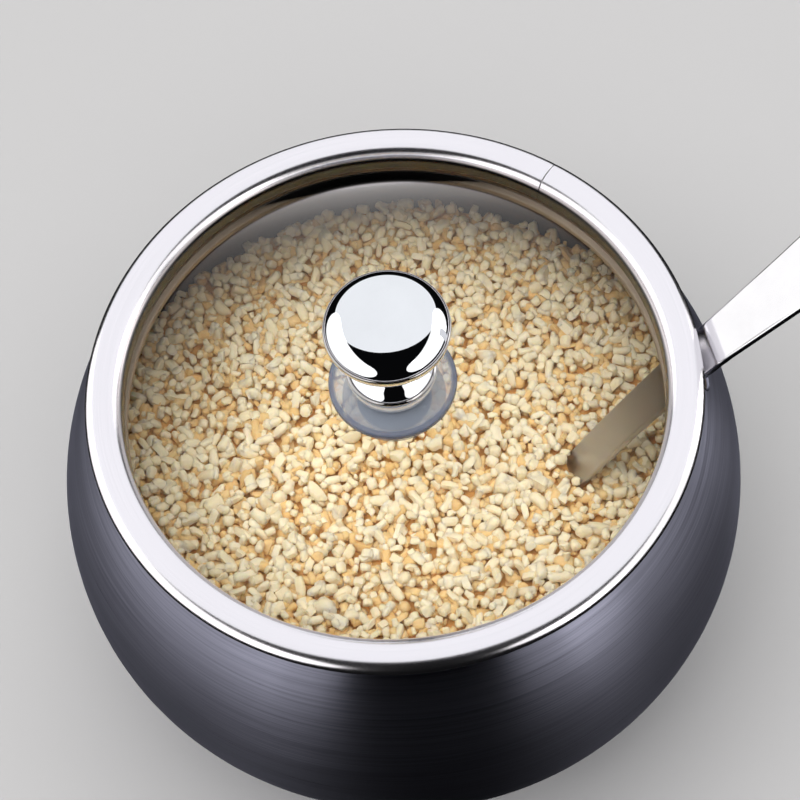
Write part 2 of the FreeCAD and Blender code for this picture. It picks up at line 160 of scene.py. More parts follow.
def spline_pts(pts, n, t0=None, t1=None):
    """Cubic Hermite through points, chord-length parameters, given end tangents."""
    p = np.array(pts, float)
    d = np.linalg.norm(np.diff(p, axis=0), axis=1)
    s = np.concatenate([[0], np.cumsum(d)])
    m = len(p)
    A = np.zeros((m, m))
    B = np.zeros((m, 2))
    for i in range(1, m - 1):
        h0, h1 = s[i] - s[i - 1], s[i + 1] - s[i]
        A[i, i - 1], A[i, i], A[i, i + 1] = h1, 2 * (h0 + h1), h0
        B[i] = 3 * (h1 * (p[i] - p[i - 1]) / h0 + h0 * (p[i + 1] - p[i]) / h1)
    A[0, 0] = A[-1, -1] = 1
    B[0] = t0 if t0 is not None else (p[1] - p[0]) / d[0]
    B[-1] = t1 if t1 is not None else (p[-1] - p[-2]) / d[-1]
    v = np.linalg.solve(A, B)
    out = []
    for i in range(m - 1):
        h = s[i + 1] - s[i]
        for k in range(n):
            u = k / n
            out.append((2 * u ** 3 - 3 * u ** 2 + 1) * p[i] + (u ** 3 - 2 * u ** 2 + u) * h * v[i]
                       + (-2 * u ** 3 + 3 * u ** 2) * p[i + 1] + (u ** 3 - u ** 2) * h * v[i + 1])
    out.append(p[-1])
    return [tuple(q) for q in out]


def dedupe(profile, eps=1e-4):
    out = [profile[0]]
    for q in profile[1:]:
        if math.hypot(q[0] - out[-1][0], q[1] - out[-1][1]) > eps:
            out.append(q)
    if math.hypot(out[0][0] - out[-1][0], out[0][1] - out[-1][1]) < eps:
        out.pop()
    return out


# ------------------------------------------------------------------ spoon's plane
AZ = math.radians(9.5)
S_DIR = Vector((math.cos(AZ), math.sin(AZ), 0))
W_DIR = Vector((-math.sin(AZ), math.cos(AZ), 0))
UP = Vector((0, 0, 1))
S0 = Vector((45.3, 0.85, SEAT - 1.8))


# ------------------------------------------------------------------ bowl body
def skin(off):
    """Radius of the shell's outer (off 0) or inner (off WALL) skin as a function of height."""
    a, bu, bl = BELLY_R - off, UPPER_B - off, LOWER_B - off
    zq = SEAT - SHOULDER_DROP
    tq = math.asin((zq - BELLY_Z) / bu)
    q = (a * math.cos(tq), BELLY_Z + bu * math.sin(tq))
    lean = math.atan2(a * math.sin(tq), bu * math.cos(tq))
    rim = RIM_R - off
    rho = (q[0] - rim) / (1 - math.cos(lean))
    ztop = q[1] + rho * math.sin(lean)
    zh = HEEL_Z + off
    th = -math.asin((BELLY_Z - zh) / bl)
    h = (a * math.cos(th), BELLY_Z + bl * math.sin(th))
    slope = math.atan2(bl * math.cos(th), -a * math.sin(th))
    rh = HEEL_Z / (1 - math.cos(slope))
    p0 = (h[0] - rh * math.sin(slope), h[1] - rh * (1 - math.cos(slope)))

    def radius(z):
        if z >= ztop:
            return rim
        if z > q[1]:
            dz = ztop - z
            return rim + rho - math.sqrt(max(rho * rho - dz * dz, 0.0))
        if z >= BELLY_Z:
            return a * math.sqrt(1 - ((z - BELLY_Z) / bu) ** 2)
        return a * math.sqrt(max(1 - ((BELLY_Z - z) / bl) ** 2, 0.0))
    return radius, th, h, slope, rh, p0


out_r, out_th, out_h, out_slope, out_rh, out_p0 = skin(0.0)
in_r, in_th, in_h, in_slope, in_rh, in_p0 = skin(WALL)
EDGE_Z = SEAT + RIM_UP


def edge_height(a):
    """Height of the rim's edge at azimuth a: the full rim, or the floor and sides of the notch."""
    r = 44.0
    p = Vector((r * math.cos(a), r * math.sin(a), 0))
    w = (p - Vector((S0.x, S0.y, 0))).dot(W_DIR)
    if p.x < 0 or abs(w) >= NOTCH_W / 2:
        return EDGE_Z
    lo = SEAT - NOTCH_DROP
    rr = 1.6
    d = NOTCH_W / 2 - abs(w)
    if d < rr:
        return lo + rr - math.sqrt(max(rr * rr - (rr - d) ** 2, 0.0))
    return lo


def body_mesh():
    angles = []
    a = 0.0
    centre = 0.9
    side = math.degrees(NOTCH_W / 2 / 44.0)
    while a < 360.0:
        angles.append(a)
        off = abs((a - centre + 180) % 360 - 180)
        a += 0.04 if abs(off - side) < 0.25 else 0.2 if off < side + 1.5 else 0.9
    angles = [math.radians(x) for x in angles]
    heel = [(x, z) for x, z in (
        (out_p0[0] + out_rh * math.sin(out_slope * i / 8), out_rh * (1 - math.cos(out_slope * i / 8))) for i in range(9))]
    heel_in = [(in_p0[0] + in_rh * math.sin(in_slope * i / 8), in_p0[1] + in_rh * (1 - math.cos(in_slope * i / 8)))
               for i in range(9)]
    base = [(0.0, 0.0)] + [(r, 0.0) for r in (4, 8, 12, 16, 20, 24)]
    floor = [(r, in_p0[1]) for r in (24, 20, 16, 12, 8, 4)] + [(0.0, in_p0[1])]
    split = 59.0
    low = [out_h[1] + (split - out_h[1]) * (1 - math.cos(math.pi * i / 46)) / 2 for i in range(1, 47)]
    low_in = [in_h[1] + (split - in_h[1]) * (1 - math.cos(math.pi * i / 46)) / 2 for i in range(1, 47)]
    e = WALL / 2
    cols = []
    for a in angles:
        top = edge_height(a)
        zt = top - e
        col = list(base) + heel
        col += [(out_r(z), z) for z in low]
        col += [(out_r(split + (zt - split) * i / 16), split + (zt - split) * i / 16) for i in range(1, 17)]
        ro, ri = out_r(zt), in_r(zt)
        c, hw = (ro + ri) / 2, (ro - ri) / 2
        col += [(c + hw * math.cos(math.pi * i / 8), zt + e * math.sin(math.pi * i / 8)) for i in range(1, 8)]
        col += [(in_r(split + (zt - split) * i / 16), split + (zt - split) * i / 16) for i in range(16, 0, -1)]
        col += [(in_r(z), z) for z in reversed(low_in)]
        col += list(reversed(heel_in)) + floor
        cols.append(col)
    rows = len(cols[0])
    verts, index = [], []
    for k in range(rows):
        if cols[0][k][0] < 1e-6:
            index.append([len(verts)] * len(angles))
            verts.append((0.0, 0.0, cols[0][k][1]))
            continue
        row = []
        for i, a in enumerate(angles):
            r, z = cols[i][k]
            row.append(len(verts))
            verts.append((r * math.cos(a), r * math.sin(a), z))
        index.append(row)
    faces = []
    n = len(angles)
    for lo, hi in zip(index, index[1:]):
        for i in range(n):
            j = (i + 1) % n
            q = []
            for v in (lo[i], lo[j], hi[j], hi[i]):
                if v not in q:
                    q.append(v)
            if len(q) >= 3:
                faces.append(q)
    return verts, faces


body = finish_mesh("bowl_shell", *body_mesh(), "bowl", 40.0)
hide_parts("bowl_body")


# ------------------------------------------------------------------ lid ring
def ring_profile():
    z = SEAT
    co, ci = (CREST_R, z - EDGE_DROP), (CREST_R, z - LIP_DROP)
    a_o, b_o = RING_R - CREST_R, CREST_UP + EDGE_DROP
    a_i, b_i = CREST_R - LIP_R, CREST_UP + LIP_DROP
    gt, gb = z - GROOVE_UP, z - GROOVE_LOW
    foot, groove = GRIP_R + 0.1, GLASS_EDGE_R + 0.1
    crown = full_pts(co, a_o, b_o, 0, 90, CROWN_OUT_N, 40) + full_pts(ci, a_i, b_i, 90, 180, CROWN_IN_N, 40)
    crown = dedupe(crown)
    rest = line_pts((LIP_R, z - LIP_DROP), (GRIP_R, gt + 0.25), 8)
    rest += arc_pts((GRIP_R + 0.25, gt + 0.25), 0.25, 0.25, 180, 270, 5)
    rest += line_pts((GRIP_R + 0.25, gt), (groove, gt), 2)
    rest += line_pts((groove, gt), (groove, gb), 3)
    rest += line_pts((groove, gb), (foot + 0.25, gb), 2)
    fl = z - FOOT_LOW
    rest += arc_pts((foot + 0.25, gb - 0.25), 0.25, 0.25, 90, 180, 4)
    rest += line_pts((foot, gb - 0.25), (foot, fl + 0.25), 3)
    rest += arc_pts((foot + 0.25, fl + 0.25), 0.25, 0.25, 180, 270, 4)
    rest += line_pts((foot + 0.25, fl), (SKIRT_R - 0.6, fl), 2)
    rest += arc_pts((SKIRT_R - 0.6, fl + 0.6), 0.6, 0.6, 270, 360, 6)
    rest += line_pts((SKIRT_R, fl + 0.6), (SKIRT_R, z - LIP_DROP), 6)
    rest += full_pts(ci, CREST_R - SKIRT_R, b_i - BAND, 180, 90, CHANNEL_N, 14)
    rest += full_pts(co, a_o - BAND, b_o - BAND, 90, 0, CROWN_OUT_N, 14)
    rest += arc_pts((RING_R - BAND / 2, z - EDGE_DROP), BAND / 2, BAND / 2, 180, 360, 8)
    full = dedupe(crown + rest)
    return full, len(crown)


def ring_mesh():
    profile, n_crown = ring_profile()
    angles = []
    a = 0.0
    while a < 360.0:
        angles.append(a)
        off = abs(a - SEAM_AZ)
        a += 0.03 if off < 0.3 else 0.15 if off < 1.0 else 0.75
    angles = [math.radians(x) for x in angles]
    seam = math.radians(SEAM_AZ)
    last = n_crown + 8

    def warp(k, r, z, a):
        d = (a - seam) * 42.0
        if k > last or abs(d) > 0.6:
            return r, z
        # the two ends of the band meet in a hairline groove, one a trace lower than the other
        depth = 0.13 * math.exp(-(d / 0.055) ** 2) + (0.02 if d > 0 else 0.0) * math.exp(-(d / 0.35) ** 2)
        cr, cz = CREST_R, SEAT - 0.6
        v = (r - cr, z - cz)
        m = math.hypot(*v)
        fade = 1.0 if k <= n_crown else max(0.0, 1 - (k - n_crown) / 8.0)
        return r - v[0] / m * depth * fade, z - v[1] / m * depth * fade
    return lathe(profile, angles, warp=warp)


ring = finish_mesh("lid_band", *ring_mesh(), "lid", 45.0)
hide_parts("lid_ring")


# ------------------------------------------------------------------ glass
def sag(r):
    return DOME_R - math.sqrt(DOME_R ** 2 - r ** 2)


def glass_profile():
    rs = [GLASS_HOLE_R + (GLASS_EDGE_R - 0.4 - GLASS_HOLE_R) * i / 40 for i in range(41)]
    top = [(r, SEAT - sag(r)) for r in rs]
    bot = [(r, SEAT - sag(r) - GLASS_T) for r in reversed(rs)]
    c = GLASS_EDGE_R - 0.4
    zt, zb = SEAT - sag(c), SEAT - sag(c) - GLASS_T
    edge = [(c + 0.4 * math.sin(t), zt - 0.4 * (1 - math.cos(t))) for t in (0.4, 0.8, 1.2, 1.5708)]
    edge += [(c + 0.4 * math.sin(t), zb + 0.4 * (1 - math.cos(t))) for t in (1.5708, 1.2, 0.8, 0.4)]
    return top + edge + bot


glass = finish_mesh("lid_pane", *lathe(glass_profile(), n=240), "lid", 40.0)
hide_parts("lid_glass")


# ------------------------------------------------------------------ knob and washers
def knob_profile():
    kb, kz, fz = SEAT + WASHER_T, SEAT + KNOB_Z, SEAT + FOOT_Z
    p = arc_pts((0, kz), KNOB_R, KNOB_TOP, 90, 0, 48)
    p[0] = (0.0, kz + KNOB_TOP)
    under = spline_pts([(KNOB_R, kz), (KNOB_R - 0.45, kz - 1.45), (KNOB_R - 2.2, kz - 3.1), (NECK_R + 0.45, kz - 4.9),
                        (NECK_R, kz - 6.7), (NECK_R + 0.5, fz + 2.7), (FOOT_R - 0.55, fz + 1.35), (FOOT_R, fz)],
                       9, (0, -1), (0, -1))
    p += under
    p += arc_pts((FOOT_R - 1.5, fz), 1.5, fz - kb, 0, -90, 16)
    p += line_pts((FOOT_R - 1.5, kb), (BORE_R, kb), 3)
    p += line_pts((BORE_R, kb), (BORE_R, kb + BORE_DEEP), 6)
    p += [(BORE_R * 0.5, kb + BORE_DEEP + 0.6), (0.0, kb + BORE_DEEP + 1.2)]
    return dedupe(p)


knob = finish_mesh("knob_ball", *lathe(knob_profile(), n=192), "lid", 50.0)
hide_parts("knob")


def washer_profile(rim, z0, z1, soft, dish):
    """Moulded disc: rounded rim a touch proud of its face, hole 2.7 mm."""
    p = [(2.7, z0), (rim - soft, z0)]
    p += arc_pts((rim - soft, z0 + soft), soft, soft, -90, 0, 6)
    p += arc_pts((rim - soft, z1 - soft), soft, soft, 0, 90, 6)
    p += [(rim - soft - 0.25, z1), (rim - soft - 0.5, z1 - dish * 0.5), (rim - soft - 0.8, z1 - dish),
          (FOOT_R - 0.2, z1 - dish), (FOOT_R - 0.7, z1 - dish * 0.6), (FOOT_R - 1.2, z1 - 0.02), (2.7, z1 - 0.02)]
    return dedupe(p)


top_washer = finish_mesh("washer_upper", *lathe(washer_profile(WASHER_R, w_lo.z, w_hi.z, 0.45, 0.22), n=160), "lid", 40.0)
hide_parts("knob_washer")
low_washer = finish_mesh("washer_lower", *lathe(
    [(r, u_lo.z + u_hi.z - z) for r, z in washer_profile(UNDER_R, u_lo.z, u_hi.z, 0.45, 0.22)], n=160), "lid", 40.0)
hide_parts("under_washer")


# ------------------------------------------------------------------ spoon
ANG_OUT, ANG_RIM, ANG_IN = 49.0, 51.5, 60.0
ARCH_LEN, NECK_LEN, OUT_LEN = 33.0, 13.0, 50.0
SCOOP_L, SCOOP_W, SCOOP_ANG = 34.0, 22.0, 41.0


def spoon_path():
    """Stations along the spoon from the handle's end to the tip: (s, z, slope in radians)."""
    rad = math.radians
    bend = (0.35 + math.cos(rad(ANG_RIM)), (0.35 + math.cos(rad(ANG_RIM))) * math.tan(rad(ANG_RIM)))
    pts = []
    n = 60
    for i in range(n + 1):
        d = OUT_LEN * (1 - i / n)
        if d < 0.5:
            break
        pts.append((bend[0] + d * math.cos(rad(ANG_OUT)), bend[1] + d * math.sin(rad(ANG_OUT)), rad(ANG_OUT)))
    for i in range(7):
        t = i / 6
        a = rad(ANG_OUT + (ANG_RIM - ANG_OUT) * t)
        d = 0.25 - 0.5 * t
        use = ANG_OUT if d > 0 else ANG_RIM
        pts.append((bend[0] + d * math.cos(rad(use)), bend[1] + d * math.sin(rad(use)) - 0.01 * math.sin(math.pi * t), a))
    for i in range(1, 4):
        t = i / 3
        pts.append((bend[0] * (1 - t), bend[1] * (1 - t), rad(ANG_RIM)))
    a0, a1 = rad(ANG_RIM), rad(ANG_IN)
    big = ARCH_LEN / (a1 - a0)
    for i in range(1, 41):
        a = a0 + (a1 - a0) * i / 40
        pts.append((-big * (math.sin(a) - math.sin(a0)), -big * (math.cos(a0) - math.cos(a)), a))
    k = pts[-1]
    for i in range(1, 13):
        d = (NECK_LEN - 3.0) * i / 12
        pts.append((k[0] - d * math.cos(a1), k[1] - d * math.sin(a1), a1))
    # ease from the neck's slope to the scoop's, then along the scoop
    k = pts[-1]
    s, z, a = k
    total = 3.0 + SCOOP_L - 1.6
    steps = 72
    for i in range(1, steps + 1):
        d = total * i / steps
        t = min(d / 9.0, 1.0)
        a = a1 + (rad(SCOOP_ANG) - a1) * (3 * t * t - 2 * t ** 3)
        ds = total / steps
        s -= ds * math.cos(a)
        z -= ds * math.sin(a)
        pts.append((s, z, a))
    return pts


def spoon_mesh():
    path = spoon_path()
    p = np.array([(s, z) for s, z, _ in path])
    along = np.concatenate([[0], np.cumsum(np.linalg.norm(np.diff(p, axis=0), axis=1))])
    total = along[-1]
    scoop0 = total - SCOOP_L
    # half widths along the spoon, measured from the handle's end
    keys = [(6.5, 6.5), (17, 5.85), (33, 4.6), (47.5, 3.62), (54, 3.45), (66, 3.15), (84, 3.0), (scoop0 - 5, 3.0),
            (scoop0 - 1.0, 3.25)]
    kd = np.array([k[0] for k in keys]); kw = np.array([k[1] for k in keys])

    def half_width(d):
        if d < 6.5:
            # rounded end
            u = (6.5 - d) / 6.5
            return 6.5 * math.sqrt(max(1 - u * u, 0.0)) if u < 1 else 0.0
        if d <= scoop0 - 1.0:
            return float(np.interp(d, kd, kw))
        u = (d - scoop0) / SCOOP_L        # 0 at the shoulder, 1 at the tip
        # an egg: widest a little before the middle
        v = min(max(u, 0.0), 1.0)
        egg = SCOOP_W / 2 * math.sin(math.pi * v ** 0.86) ** 0.62 if 0 < v < 1 else 0.0
        if u < 0.14:
            t = (u * SCOOP_L + 1.0) / (0.14 * SCOOP_L + 1.0)
            blend = t * t * (3 - 2 * t)
            return 3.25 * (1 - blend) + max(egg, 3.25) * blend
        return egg

    def dish(d):
        u = (d - scoop0) / SCOOP_L
        if u <= 0.0 or u >= 1.0:
            return 0.0
        return 5.2 * math.sin(math.pi * u ** 0.9) ** 1.1

    cols = 24
    t = SPOON_T / 2
    top, bot, edge_l, edge_r = [], [], [], []
    verts, rings = [], []
    for i, (s, z, a) in enumerate(path):
        d = along[i]
        w = half_width(d)
        w = max(w, 0.02)
        depth = dish(d)
        up = UP * math.cos(a) - S_DIR * math.sin(a)
        c = S0 + S_DIR * s + UP * z
        th = SPOON_T if depth == 0 else SPOON_T - 0.3 * min(depth / 3.0, 1.0)
        er = min(0.32, th / 2 - 0.02, w * 0.9)
        loop = []

        def at(x, y):
            # x across, y below the upper face; the dish drops the middle
            u = x / max(w, 1e-6)
            drop = depth * (1 - u * u)
            return c + W_DIR * x - up * (y + drop)
        inner = w - er
        for k in range(cols + 1):                                   # upper face
            x = -inner + 2 * inner * k / cols
            loop.append(at(x, 0.0))
        for k in range(1, 4):                                       # upper edge to the side
            q = math.pi / 2 * k / 4
            loop.append(at(inner + er * math.sin(q), er * (1 - math.cos(q))))
        loop.append(at(w, er))
        loop.append(at(w, th - er))
        for k in range(1, 4):
            q = math.pi / 2 * k / 4
            loop.append(at(inner + er * math.cos(q), th - er + er * math.sin(q)))
        for k in range(cols + 1):
            x = inner - 2 * inner * k / cols
            loop.append(at(x, th))
        for k in range(1, 4):
            q = math.pi / 2 * k / 4
            loop.append(at(-inner - er * math.sin(q), th - er * (1 - math.cos(q))))
        loop.append(at(-w, th - er))
        loop.append(at(-w, er))
        for k in range(1, 4):
            q = math.pi / 2 * k / 4
            loop.append(at(-inner - er * math.cos(q), er - er * math.sin(q)))
        base = len(verts)
        verts += [tuple(v) for v in loop]
        rings.append(list(range(base, base + len(loop))))
    faces = []
    m = len(rings[0])
    for r0, r1 in zip(rings, rings[1:]):
        for k in range(m):
            j = (k + 1) % m
            faces.append([r0[k], r1[k], r1[j], r0[j]])
    faces.append(list(rings[0]))
    faces.append(list(reversed(rings[-1])))
    return verts, faces


spoon = finish_mesh("sugar_spoon", *spoon_mesh(), "spoon", 32.0)
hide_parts("spoon")


# ------------------------------------------------------------------ sugar
def sugar_height(x, y):
    """Height of the heap's surface, gently uneven."""
    h = SUGAR_Z + 0.5 * math.sin(x * 0.11 + 0.7) * math.cos(y * 0.13 - 0.4)
    h += 0.3 * math.sin(x * 0.31 - 1.1) * math.sin(y * 0.27 + 0.6)
    return h


def near_spoon(x, y, z, margin):
    """True where a granule would sit inside the spoon's handle."""
    p = Vector((x, y, z)) - S0
    w = p.dot(W_DIR)
    if abs(w) > 3.3 + margin:
        return False
    s, zz = p.dot(S_DIR), p.z
    best = 1e9
    for ps, pz, a in PATH[::3]:
        ds, dz = s - ps, zz - pz
        along = ds * math.cos(a) + dz * math.sin(a)
        if abs(along) < 1.6:
            off = -ds * math.sin(a) + dz * math.cos(a)
            best = min(best, max(off, -off - SPOON_T))
    return best < margin


PATH = spoon_path()


def granule_shape(rng, kind):
    """A crumb of sugar: a short lumpy rod with blunt, softly broken ends, as unit verts and faces."""
    sides = 8
    xs = (-0.97, -0.80, -0.30, 0.30, 0.80, 0.97)
    rs = (0.62, 0.93, 1.0, 1.0, 0.93, 0.62)
    lean = rng.normal(0, 0.16, 2)
    ridge = 1 + rng.normal(0, 0.11, sides)
    bend = rng.normal(0, 0.10, 2)
    verts, faces = [], []
    verts.append(np.array([-1.05, 0, 0]) + rng.normal(0, 0.04, 3))
    for i in range(6):
        swell = 1 + rng.normal(0, 0.07)
        for k in range(sides):
            t = 2 * math.pi * k / sides
            r = rs[i] * ridge[k] * swell * (1 + rng.normal(0, 0.05))
            cut = 0.5 * (math.cos(t) * lean[0] + math.sin(t) * lean[1])
            x = xs[i] + (cut if abs(xs[i]) > 0.5 else 0.0) * (1 if xs[i] > 0 else -1) + rng.normal(0, 0.03)
            verts.append(np.array([x, r * math.cos(t) + bend[0] * x * x, r * math.sin(t) + bend[1] * x * x]))
    verts.append(np.array([1.05, 0, 0]) + rng.normal(0, 0.04, 3))
    last = len(verts) - 1
    for k in range(sides):
        j = (k + 1) % sides
        faces.append((0, 1 + j, 1 + k))
        for i in range(5):
            a, b = 1 + i * sides, 1 + (i + 1) * sides
            faces.append((a + k, a + j, b + j, b + k))
        faces.append((last, 1 + 5 * sides + k, 1 + 5 * sides + j))
    return np.array(verts), faces


def granules(layers, seed, step, sink):
    """Loose crumbs in the given layers, the first one on the surface."""
    rng = np.random.default_rng(seed)
    shapes = [granule_shape(rng, i) for i in range(36)]
    V, F = [], []
    count = 0
    base = 0
    for layer in layers:
        row = 0
        y = -52.0
        while y < 52.0:
            x = -52.0 + (0.5 * step if row % 2 else 0.0) + layer * 0.5
            while x < 52.0:
                px = x + rng.normal(0, 0.42)
                py = y + rng.normal(0, 0.42)
                x += step
                h = sugar_height(px, py) - layer * sink + rng.normal(0, 0.30)
                r = math.hypot(px, py)
                if r > in_r(h) - 0.9:
                    continue
                size = float(np.clip(rng.normal(1.0, 0.2), 0.6, 1.55))
                length = 0.70 * size * float(rng.choice((1.0, 1.1, 1.25, 1.5, 2.0)))
                fat = 0.70 * size * float(rng.uniform(0.85, 1.1))
                if near_spoon(px, py, h, 0.55 * max(length, fat)):
                    continue
                vs, fs = shapes[int(rng.integers(len(shapes)))]
                yaw = rng.uniform(0, 2 * math.pi)
                pitch = rng.normal(0, 0.55)
                roll = rng.uniform(0, 2 * math.pi)
                m = Matrix.Rotation(yaw, 3, "Z") @ Matrix.Rotation(pitch, 3, "Y") @ Matrix.Rotation(roll, 3, "X")
                m = np.array(m)
                q = (vs * np.array([length, fat, fat])) @ m.T + np.array([px, py, h])
                V.append(q)
                F += [tuple(base + i for i in f) for f in fs]
                base += len(q)
                count += 1
            y += step * 0.87
            row += 1
    V = np.concatenate(V)
    return [tuple(v) for v in V], F, count


gv, gf, g_count = granules((0,), 17, 1.82, 1.0)
sugar = finish_mesh("sugar_grains", gv, gf, "bowl", 60.0)
gv, gf, d_count = granules((1,), 29, 1.62, 0.95)
sugar_low = finish_mesh("sugar_grains_low", gv, gf, "bowl", 60.0)


def heap_mesh():
    """The heap under the loose granules: a lumpy surface closed by the wall's line below."""
    n, m = 180, 46
    verts, faces = [(0.0, 0.0, sugar_height(0, 0) - 1.5)], []
    rows = []
    for j in range(1, m + 1):
        row = []
        for i in range(n):
            a = 2 * math.pi * i / n
            r = 50.6 * j / m
            x, y = r * math.cos(a), r * math.sin(a)
            h = sugar_height(x, y) - 1.5
            lim = in_r(h) - 0.25
            if r > lim:
                x, y = x * lim / r, y * lim / r
            row.append(len(verts))
            verts.append((x, y, h))
        rows.append(row)
    for i in range(n):
        faces.append((0, rows[0][i], rows[0][(i + 1) % n]))
    for lo, hi in zip(rows, rows[1:]):
        for i in range(n):
            j = (i + 1) % n
            faces.append((lo[i], hi[i], hi[j], lo[j]))
    return verts, faces


heap = finish_mesh("sugar_heap", *heap_mesh(), "bowl", 180.0)


# ------------------------------------------------------------------ materials
def new_material(name):
    mat = bpy.data.materials.new(name)
    mat.use_nodes = True
    nt = mat.node_tree
    nt.nodes.clear()
    out = nt.nodes.new("ShaderNodeOutputMaterial")
    bsdf = nt.nodes.new("ShaderNodeBsdfPrincipled")
    nt.links.new(bsdf.outputs[0], out.inputs[0])
    return mat, nt, bsdf, out


def node(nt, kind, **props):
    n = nt.nodes.new(kind)
    for k, v in props.items():
        setattr(n, k, v)
    return n


def math_node(nt, op, a, b=None):
    n = node(nt, "ShaderNodeMath", operation=op)
    for i, v in enumerate((a, b)):
        if v is None:
            continue
        if isinstance(v, (int, float)):
            n.inputs[i].default_value = v
        else:
            nt.links.new(v, n.inputs[i])
    return n.outputs[0]


def ramp(nt, fac, stops):
    n = node(nt, "ShaderNodeValToRGB")
    cr = n.color_ramp
    while len(cr.elements) < len(stops):
        cr.elements.new(0.5)
    for e, (p, c) in zip(cr.elements, stops):
        e.position = p
        e.color = (c, c, c, 1) if isinstance(c, float) else (*c, 1)
    nt.links.new(fac, n.inputs[0])
    return n.outputs[0]


def noise(nt, vec, scale, detail=4.0, rough=0.55, w=None):
    n = node(nt, "ShaderNodeTexNoise", noise_dimensions="3D")
    n.inputs["Scale"].default_value = scale
    n.inputs["Detail"].default_value = detail
    n.inputs["Roughness"].default_value = rough
    if vec is not None:
        nt.links.new(vec, n.inputs["Vector"])
    return n.outputs["Fac"]


def turned_coords(nt, around, along):
    """Coordinates that run round Z, so noise on them looks brushed on a lathe; the third one, up the axis, is left for
    the caller to link.
    """
    tc = node(nt, "ShaderNodeTexCoord")
    sep = node(nt, "ShaderNodeSeparateXYZ")
    nt.links.new(tc.outputs["Object"], sep.inputs[0])
    r2 = math_node(nt, "ADD", math_node(nt, "MULTIPLY", sep.outputs[0], sep.outputs[0]),
                   math_node(nt, "MULTIPLY", sep.outputs[1], sep.outputs[1]))
    r = math_node(nt, "SQRT", r2)
    # unit direction round the axis keeps the pattern seamless
    cx = math_node(nt, "DIVIDE", sep.outputs[0], math_node(nt, "MAXIMUM", r, 1e-5))
    cy = math_node(nt, "DIVIDE", sep.outputs[1], math_node(nt, "MAXIMUM", r, 1e-5))
    comb = node(nt, "ShaderNodeCombineXYZ")
    nt.links.new(math_node(nt, "MULTIPLY", cx, around), comb.inputs[0])
    nt.links.new(math_node(nt, "MULTIPLY", cy, around), comb.inputs[1])
    return tc, sep, r, comb


def bump(nt, height, strength, distance, normal=None):
    n = node(nt, "ShaderNodeBump")
    n.inputs["Strength"].default_value = strength
    n.inputs["Distance"].default_value = distance
    nt.links.new(height, n.inputs["Height"])
    if normal is not None:
        nt.links.new(normal, n.inputs["Normal"])
    return n.outputs[0]


def mix_color(nt, fac, a, b, blend="MIX"):
    n = node(nt, "ShaderNodeMix", data_type="RGBA", blend_type=blend)
    for sock, v in ((n.inputs[0], fac), (n.inputs[6], a), (n.inputs[7], b)):
        if isinstance(v, (int, float)):
            sock.default_value = v
        elif isinstance(v, tuple):
            sock.default_value = (*v, 1)
        else:
            nt.links.new(v, sock)
    return n.outputs[2]


